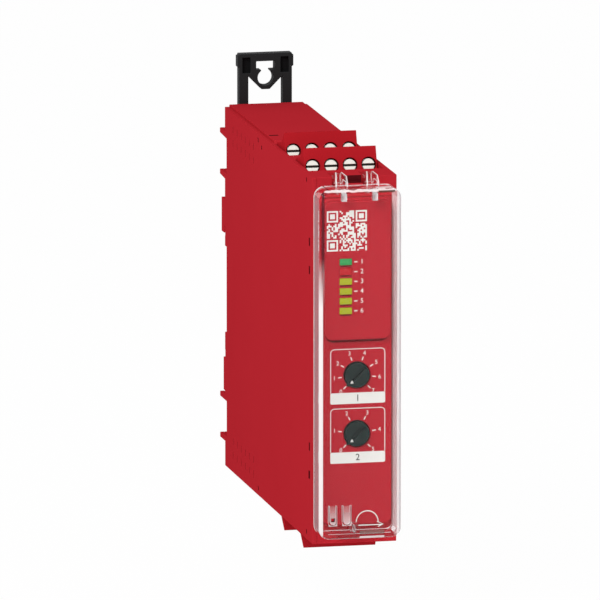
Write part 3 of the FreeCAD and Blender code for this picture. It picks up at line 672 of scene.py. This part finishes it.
def shade_wells(plug, piece):
    low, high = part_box(plug.replace("terminal_plug", "clamp_screws"))
    face, along = tilted_face(low)
    middle = (low + high) / 2

    def in_well(centre, normal):
        place = centre - middle
        off_pole = min(abs(centre.x - pole) for pole in POLES)
        return (math.hypot(off_pole, place.dot(along)) < WELL_RADIUS
                and abs(place.dot(face)) < WELL_DEPTH and abs(normal.dot(face)) < STEEP)

    paint(piece, painted_shade_red, in_well)


# Painted shade in the wells round the screws and on the floors of their slots.
for name, piece in outer.items():
    if name.startswith("terminal_plug"):
        shade_wells(name, piece)
    if name.startswith("clamp_screws"):
        darken_slots(name, piece)

# %% [markdown]
# ## Hollows and cut faces
# A deep narrow hollow keeps its light out, so its faces get a painted shade, and a cut
# face of clear plastic looks white. Both are the same step: the faces inside a box get a
# second material. Each box is worked out from the solid that it belongs to, or given
# where the solid's own sizes put it.

# %% Hollows and cut faces
SHALLOW = 0.2
wall_low, wall_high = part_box("side_cover")
lug_low, lug_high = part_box("mounting_lug")
HOLE_MARGIN = 1.2 * MM
RIB_HALF = 0.75 * MM
HOLE_HALF = 0.55 * MM
WALL_HOLES = ((wall_low.x, -10.05 * MM),
              (wall_low.y + HOLE_MARGIN, -3.0 * MM),
              (wall_low.z + HOLE_MARGIN, wall_high.z - HOLE_MARGIN))
LUG_POCKETS = ((4.0 * MM, 6.4 * MM),
               (lug_low.y + 0.3 * MM, lug_low.y + 1.3 * MM),
               (lug_high.z - 5.4 * MM, lug_high.z))
RIBS = ((ARM_X - RIB_HALF, ARM_X + RIB_HALF),
        (cover_low.y + 1.1 * MM, cover_low.y + 2.8 * MM),
        (44.0 * MM, cover_high.z))
TONGUE_CUTS = ((-8.7 * MM, -0.8 * MM),
               (cover_low.y - SKIN, cover_low.y + 1.3 * MM),
               (-44.0 * MM, -35.0 * MM))
TONGUE_HOLE = ((TONGUES[0][0] - HOLE_HALF, TONGUES[0][0] + HOLE_HALF),
               (cover_low.y - SKIN, cover_low.y + WALL),
               (cover_low.z + 4.7 * MM, cover_low.z + 5.9 * MM))
TOP_NOTCH = ((-9.7 * MM, -7.1 * MM), (-65 * MM, -30 * MM), (50.1 * MM, 50.95 * MM))
FINGER_NOTCH = ((-2.5 * MM, 2.5 * MM),
                (wall_low.y + 0.1 * MM, wall_low.y + 2.3 * MM),
                (47.0 * MM, 49.9 * MM))


def inside(centre, box, both_sides=False):
    """True between a box's limits, or also in its mirror image at the other side of X."""
    x = abs(centre.x) if both_sides else centre.x
    return all(low < value < high for value, (low, high) in zip((x, centre.y, centre.z), box))


def in_wall_holes(centre, normal):
    """The inside of the vents, latch holes and windows in the left wall."""
    return inside(centre, WALL_HOLES) and abs(normal.x) < SHALLOW


def cut_in_cover(centre, normal):
    """The ribs under the arms, and the faces of the tongues and the sealing eye."""
    return inside(centre, RIBS, True) or (inside(centre, TONGUE_CUTS) and abs(normal.y) < STEEP)


def in_tongue_hole(centre, normal):
    """The walls of the small square hole near the end of the left tongue."""
    return inside(centre, TONGUE_HOLE) and abs(normal.y) < STEEP


# Painted shade in the finger notch, the notch on top, the wall holes, the lug's pockets and the tongue's
# hole; the cover's ribs and cut faces are frosted.
paint(outer["housing"], painted_deep_shade_red, lambda centre, normal: inside(centre, FINGER_NOTCH))
paint(outer["housing"], painted_shade_red, lambda centre, normal: inside(centre, TOP_NOTCH))
paint(outer["side_cover"], painted_deep_shade_red, in_wall_holes)
paint(outer["mounting_lug"], painted_hollow_shade, lambda centre, normal: inside(centre, LUG_POCKETS, True))
paint(outer["clear_cover"], frosted, cut_in_cover)
paint(outer["clear_cover"], painted_hollow_shade, in_tongue_hole)

# %% [markdown]
# ## White print
# The dials, their frames and the lamp marks are printed in white. A print is modelled as
# what it is, a coat of ink a few hundredths thick, which starts as any flat piece and is
# then pressed on the moulding, with most of its thickness just under the surface.

# %% Ink
INK = 0.03 * MM
SUNK = 0.8
THINNEST = 0.001 * MM
ink = moulded("white print", (234, 234, 228), (218, 217, 211), 0.5, grain=0.5 * MM)
dark_ink = moulded("dark print", (40, 46, 44), (28, 32, 30), 0.5, grain=0.5 * MM)
prints = []


def finish_print(piece, name, y, material=ink, body="root"):
    """Presses a print flat in Y, puts its back just under the surface and keeps it."""
    piece.name = name
    only(piece)
    bpy.ops.object.transform_apply(location=True, rotation=True, scale=True)
    low = min(vertex.co.y for vertex in piece.data.vertices)
    high = max(vertex.co.y for vertex in piece.data.vertices)
    squeeze = INK / max(high - low, THINNEST)
    for vertex in piece.data.vertices:
        vertex.co.y = y - INK * SUNK + (vertex.co.y - low) * squeeze
    piece.data.materials.clear()
    piece.data.materials.append(material)
    prints.append(piece)
    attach(piece, body)


# %% [markdown]
# ## Printed lines and numbers
# A line could be a row of thin boxes, but its corners would gape. So it starts as a curve
# through its corners, gets a round section and becomes a mesh. A number starts as text,
# laid down flat, and is turned up to face the front once it is a mesh.

# %% Printed lines and numbers
LETTER_SIZE = 1.35
UPRIGHT = (math.radians(90), 0, 0)


def line(name, points, width, y, closed=False, body="root", material=ink):
    """A printed line through points given as X and Z in millimetres."""
    curve = bpy.data.curves.new(name, "CURVE")
    curve.dimensions = "3D"
    curve.bevel_depth = width / 2 * MM
    curve.bevel_resolution = 1
    curve.use_fill_caps = True
    spline = curve.splines.new("POLY")
    spline.points.add(len(points) - 1)
    for point, (x, z) in zip(spline.points, points):
        point.co = (x * MM, y, z * MM, 1)
    spline.use_cyclic_u = closed
    piece = bpy.data.objects.new(name, curve)
    bpy.context.scene.collection.objects.link(piece)
    only(piece)
    bpy.ops.object.convert(target="MESH")
    finish_print(bpy.context.object, name, y, material, body)


def number(name, text, x, z, height, y, material=ink):
    """A printed number, centred on a place given in millimetres."""
    bpy.ops.object.select_all(action="DESELECT")
    bpy.ops.object.text_add(location=(0, 0, 0))
    piece = bpy.context.object
    piece.data.body = text
    piece.data.size = height * MM * LETTER_SIZE
    piece.data.align_x = "CENTER"
    piece.data.align_y = "CENTER"
    piece.data.extrude = INK
    piece.data.resolution_u = 4
    bpy.ops.object.convert(target="MESH")
    piece = bpy.context.object
    piece.rotation_euler = UPRIGHT
    piece.location = (x * MM, y, z * MM)
    finish_print(piece, name, y, material)


# %% [markdown]
# ## The two dials
# Each selector stands in a printed frame with a white strip for its label below it. The
# marks run over three quarters of a turn, from lower left to lower right, and every mark
# has its number a little further out.

# %% Frame and strip
panel_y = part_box("front_panel")[0].y
FRAME_LEFT = -7.05
FRAME_RIGHT = 7.45
FRAME_MIDDLE = (FRAME_LEFT + FRAME_RIGHT) / 2
FRAME_CORNER = 1.0
FRAME_LINE = 0.22
STRIP_HEIGHT = 2.95
STRIP_SIDE = 0.1
STRIP_CORNER = 0.4


def corner_arc(x, z, radius, start, steps=4):
    """A quarter turn that starts at the given angle and runs clockwise, as X and Z."""
    turn = [math.radians(start - 90 * i / steps) for i in range(steps + 1)]
    return [(x + radius * math.cos(a), z + radius * math.sin(a)) for a in turn]


def frame_round(tag, top, bottom):
    outline = [(FRAME_LEFT, bottom)]
    outline += corner_arc(FRAME_LEFT + FRAME_CORNER, top - FRAME_CORNER, FRAME_CORNER, 180)
    outline += corner_arc(FRAME_RIGHT - FRAME_CORNER, top - FRAME_CORNER, FRAME_CORNER, 90)
    outline += [(FRAME_RIGHT, bottom)]
    line("dial_%s_frame" % tag, outline, FRAME_LINE, panel_y)


def strip(tag, top):
    """The white label strip: a plane with its corners cut, thickened to a coat of ink."""
    bpy.ops.object.select_all(action="DESELECT")
    bpy.ops.mesh.primitive_plane_add(size=1.0, rotation=UPRIGHT)
    piece = bpy.context.object
    piece.scale = ((FRAME_RIGHT - FRAME_LEFT + 2 * STRIP_SIDE) * MM, STRIP_HEIGHT * MM, 1)
    piece.location = (FRAME_MIDDLE * MM, panel_y, (top - STRIP_HEIGHT / 2) * MM)
    bpy.ops.object.transform_apply(location=True, rotation=True, scale=True)
    bpy.ops.object.mode_set(mode="EDIT")
    bpy.ops.mesh.select_all(action="SELECT")
    bpy.ops.mesh.bevel(offset=STRIP_CORNER * MM, segments=3, affect="VERTICES")
    bpy.ops.mesh.extrude_region_move(TRANSFORM_OT_translate={"value": (0, -INK, 0)})
    bpy.ops.mesh.select_all(action="SELECT")
    bpy.ops.mesh.normals_make_consistent(inside=False)
    bpy.ops.object.mode_set(mode="OBJECT")
    finish_print(piece, "dial_%s_strip" % tag, panel_y)


# %% [markdown]
# ## Marks and numbers round a dial
# The ends of every mark and the middle of its number lie on circles round the selector,
# so one loop over the angles makes a whole dial. Its middle comes from the knob's box.

# %% Dials
FIRST_ANGLE = -135
SWEEP = 270
MARK_ENDS = (4.1, 5.1)
MARK_WIDTH = 0.3
NUMBER_RADIUS = 6.1
NUMBER_HEIGHT = 1.15
LABEL_HEIGHT = 1.8


def dial(tag, label, positions, frame_rise, frame_drop):
    low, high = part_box("selector_knob_" + tag)
    x = (low.x + high.x) / 2 / MM
    z = (low.z + high.z) / 2 / MM
    for i in range(positions):
        angle = math.radians(FIRST_ANGLE + SWEEP * i / (positions - 1))
        out_x = math.sin(angle)
        out_z = math.cos(angle)
        ends = [(x + out_x * radius, z + out_z * radius) for radius in MARK_ENDS]
        line("dial_%s_mark_%d" % (tag, i), ends, MARK_WIDTH, panel_y)
        number("dial_%s_number_%d" % (tag, i), str(i), x + out_x * NUMBER_RADIUS, z + out_z * NUMBER_RADIUS,
               NUMBER_HEIGHT, panel_y)
    strip_top = z - frame_drop
    frame_round(tag, z + frame_rise, strip_top)
    strip(tag, strip_top)
    number("strip_%s_number" % tag, label, FRAME_MIDDLE, strip_top - STRIP_HEIGHT / 2, LABEL_HEIGHT,
           panel_y - INK, dark_ink)


dial("upper", "1", positions=8, frame_rise=6.95, frame_drop=4.65)
dial("lower", "2", positions=6, frame_rise=6.75, frame_drop=4.85)
print(len(prints), "prints")

# %% [markdown]
# ## The code square
# A square of small blocks is printed over the lamps. Here it is only a pattern: three
# framed corners, and between them blocks thrown by a seeded die, so it says nothing. A
# grid already has a face for each block, so the blocks that stay white are selected
# by their row and column, and the others are deleted.

# %% Code square
plate_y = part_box("indicator_plate")[0].y
CODE_SIZE = 10.7
CODE_X = -2.95
CODE_Z = 36.7
BLOCKS = 25
FRAMED = 7
WHITE_RINGS = (0, 1, 3)
WHITE_SHARE = 0.52
SEED = 7


def stays_white(column, row, dice):
    """True for a white block. The corners are rings, the rest is thrown."""
    chance = dice.random() < WHITE_SHARE
    for corner_x, corner_y in ((0, 0), (0, BLOCKS - FRAMED), (BLOCKS - FRAMED, BLOCKS - FRAMED)):
        x = column - corner_x
        y = row - corner_y
        if -1 <= x <= FRAMED and -1 <= y <= FRAMED:
            return max(abs(x - FRAMED // 2), abs(y - FRAMED // 2)) in WHITE_RINGS
    return chance


def select_faces(piece, wanted):
    """Leaves the piece in edit mode with only the wanted faces selected."""
    only(piece)
    bpy.ops.object.mode_set(mode="EDIT")
    bpy.ops.mesh.select_mode(type="FACE")
    bpy.ops.mesh.select_all(action="DESELECT")
    bpy.ops.object.mode_set(mode="OBJECT")
    for polygon in piece.data.polygons:
        polygon.select = wanted(polygon)
    bpy.ops.object.mode_set(mode="EDIT")


def code_square():
    bpy.ops.object.select_all(action="DESELECT")
    bpy.ops.mesh.primitive_grid_add(x_subdivisions=BLOCKS, y_subdivisions=BLOCKS, size=CODE_SIZE * MM)
    piece = bpy.context.object
    block = CODE_SIZE * MM / BLOCKS
    dice = random.Random(SEED)
    white = {(i, j): stays_white(i, j, dice) for i in range(BLOCKS) for j in range(BLOCKS)}

    def goes(polygon):
        column = int((polygon.center.x + CODE_SIZE * MM / 2) / block)
        row = int((polygon.center.y + CODE_SIZE * MM / 2) / block)
        return not white[column, row]

    select_faces(piece, goes)
    bpy.ops.mesh.delete(type="FACE")
    bpy.ops.mesh.select_all(action="SELECT")
    bpy.ops.mesh.extrude_region_move(TRANSFORM_OT_translate={"value": (0, 0, INK)})
    bpy.ops.mesh.select_all(action="SELECT")
    bpy.ops.mesh.normals_make_consistent(inside=False)
    bpy.ops.object.mode_set(mode="OBJECT")
    piece.rotation_euler = UPRIGHT
    piece.location = (CODE_X * MM, plate_y, CODE_Z * MM)
    finish_print(piece, "code_square", plate_y)
    return sum(white.values())


print("white blocks", code_square())

# %% [markdown]
# ## Lamp marks
# Every lamp has a short dash and a number at its right. The plate is chamfered inwards
# under each window, where no light falls. That chamfer is a fraction of a millimetre, so
# it is drawn as a line of a darker red.

# %% Lamp marks
MARK_X = -1.0
DASH = 0.9
DASH_WIDTH = 0.3
LAMP_NUMBER_X = 2.1
LAMP_NUMBER_HEIGHT = 1.3
SHADE_INSET = 0.5
SHADE_RISE = 0.05
SHADE_WIDTH = 0.42
for i in range(1, 7):
    low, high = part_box("light_guide_%d" % i)
    z = (low.z + high.z) / 2 / MM
    shade_z = low.z / MM + SHADE_RISE
    shade = [(low.x / MM + SHADE_INSET, shade_z), (high.x / MM - SHADE_INSET, shade_z)]
    line("lamp_shade_%d" % i, shade, SHADE_WIDTH, plate_y, material=painted_shade_red)
    line("lamp_dash_%d" % i, [(MARK_X, z), (MARK_X + DASH, z)], DASH_WIDTH, plate_y)
    number("lamp_number_%d" % i, str(i), MARK_X + LAMP_NUMBER_X, z, LAMP_NUMBER_HEIGHT, plate_y)
print(len(prints), "prints")

# %% [markdown]
# ## The plate's lower edge
# The plate stands proud of the panel and is undercut along its lower end, which keeps
# the panel just below it in shade. A painted dark line of shadow follows the round
# corners there, and its ends turn up a little along the sides.

# %% The plate's lower edge
SHADOW_INSET = 0.55
SHADOW_DROP = 0.25
SHADOW_CORNER = 2.0
SHADOW_UP = 1.0
SHADOW_WIDTH = 0.9
plate_low, plate_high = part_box("indicator_plate")
# The painted shadow line under the plate.
left_x = plate_low.x / MM + SHADOW_INSET
right_x = plate_high.x / MM - SHADOW_INSET
arc_z = plate_low.z / MM - SHADOW_DROP + SHADOW_CORNER
shadow_outline = [(left_x, arc_z + SHADOW_UP)]
shadow_outline += reversed(corner_arc(left_x + SHADOW_CORNER, arc_z, SHADOW_CORNER, 270))
shadow_outline += reversed(corner_arc(right_x - SHADOW_CORNER, arc_z, SHADOW_CORNER, 0))
shadow_outline += [(right_x, arc_z + SHADOW_UP)]
line("plate_shadow_line", shadow_outline, SHADOW_WIDTH, panel_y, material=painted_shade_red)
print("groove from", round(left_x, 2), "to", round(right_x, 2), "mm")

# %% [markdown]
# ## Highlights on the selectors and a mark on the cover
# A pale triangle of ink on each selector is a painted highlight, where its pointing shape
# catches light. The cover carries a small picture of a lid that swings open, printed on
# the inside so that it can't wear off.

# %% Knob highlights and the lid mark
KNOB_GLINT = ((-1.75, -2.0), (-1.15, -2.0), (-1.45, -1.45))
KNOB_GLINT_WIDTH = 0.45
# A painted highlight of pale ink on each selector.
for tag in ("upper", "lower"):
    low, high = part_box("selector_knob_" + tag)
    x = (low.x + high.x) / 2 / MM
    z = (low.z + high.z) / 2 / MM
    line("pointer_%s" % tag, [(x + across, z + up) for across, up in KNOB_GLINT], KNOB_GLINT_WIDTH, low.y,
         closed=True, body="knob_" + tag)

cover_back = cover_low.y + WALL + INK
LID_X = 1.95
LID_Z = -40.4
LID_RADIUS = 2.95
LID_LINE = 0.32
ARROW_LINE = 0.3
LID_BASE = ((-2.4, -0.85), (4.1, -0.85))
LID_ARROW = ((2.6, 0.0), (4.3, -0.75), (2.9, -1.4))


def lid_line(name, places, width):
    line(name, [(LID_X + x, LID_Z + z) for x, z in places], width, cover_back, body="cover")


lid_line("lid_arc", corner_arc(0, 0, LID_RADIUS, 180, 6) + corner_arc(0, 0, LID_RADIUS, 90, 6)[1:], LID_LINE)
lid_line("lid_base", LID_BASE, LID_LINE)
lid_line("lid_arrow", LID_ARROW, ARROW_LINE)
print(len(prints), "prints")

# %% [markdown]
# ## A plain studio
# A pale floor runs to a white horizon. Camera, glossy and transmission rays see the world
# as plain white, while the light that falls on the part stays at a level at which a
# colour comes out about as it is written.

# %% World and lamps
WORLD_LIGHT = 0.5
LAMP_DISTANCE = 0.9


def seen_rays(graph):
    """One for a ray that shows what lies behind the part, and zero for one that lights it."""
    camera_ray, glossy, through = (graph.node("ShaderNodeLightPath", {}, {}, out="Is %s Ray" % kind)
                                   for kind in ("Camera", "Glossy", "Transmission"))
    return (camera_ray + glossy + through).at_most(1.0)


def white_world(level):
    world = bpy.data.worlds.new("studio")
    bpy.context.scene.world = world
    world.use_nodes = True
    graph = Graph(world.node_tree)
    strength = seen_rays(graph) * (1 - level) + level
    graph.set(world.node_tree.nodes["Background"], {"Color": (1, 1, 1, 1), "Strength": strength})


def studio_lamp(name, azimuth, elevation, size, power):
    light = bpy.data.objects.new(name, bpy.data.lights.new(name, "AREA"))
    bpy.context.scene.collection.objects.link(light)
    light.data.shape = "SQUARE"
    light.data.size = size
    light.data.energy = power
    light.visible_transmission = False
    face_the_part(light, azimuth, elevation, LAMP_DISTANCE)
    print(name, "lamp", power, "W at", azimuth, "and", elevation, "degrees")


white_world(WORLD_LIGHT)
studio_lamp("key", azimuth=-42, elevation=42, size=0.4, power=4.6)
studio_lamp("fill", azimuth=30, elevation=20, size=0.9, power=0.8)

# %% [markdown]
# ## The floor
# The floor lies lower than the part, so that the lower plugs and the catch don't dip into
# it when they are pulled out. It glows for the rays that show it and is matt for the
# others, so it stays pale in the picture and keeps a faint shadow.

# %% Floor
FLOOR_DROP = 20 * MM
FLOOR_SIZE = 6.0
FLOOR_GREY = (0.9, 0.9, 0.9, 1)
FLOOR_GLOW = 0.98
bpy.ops.object.select_all(action="DESELECT")
bpy.ops.mesh.primitive_plane_add(size=FLOOR_SIZE, location=(0, 0, cad_box[0].z - FLOOR_DROP))
floor = bpy.context.object
floor.name = "floor"


def floor_paint():
    finish = Finish("floor")
    paint = finish.node("ShaderNodeBsdfDiffuse", {}, {"Color": FLOOR_GREY})
    glow = finish.node("ShaderNodeEmission", {}, {})
    return finish.show(finish.blend(seen_rays(finish) * FLOOR_GLOW, paint, glow))


floor.data.materials.append(floor_paint())
bpy.context.scene.view_settings.view_transform = "Standard"
print("floor at", round(floor.location.z / MM, 1), "mm")
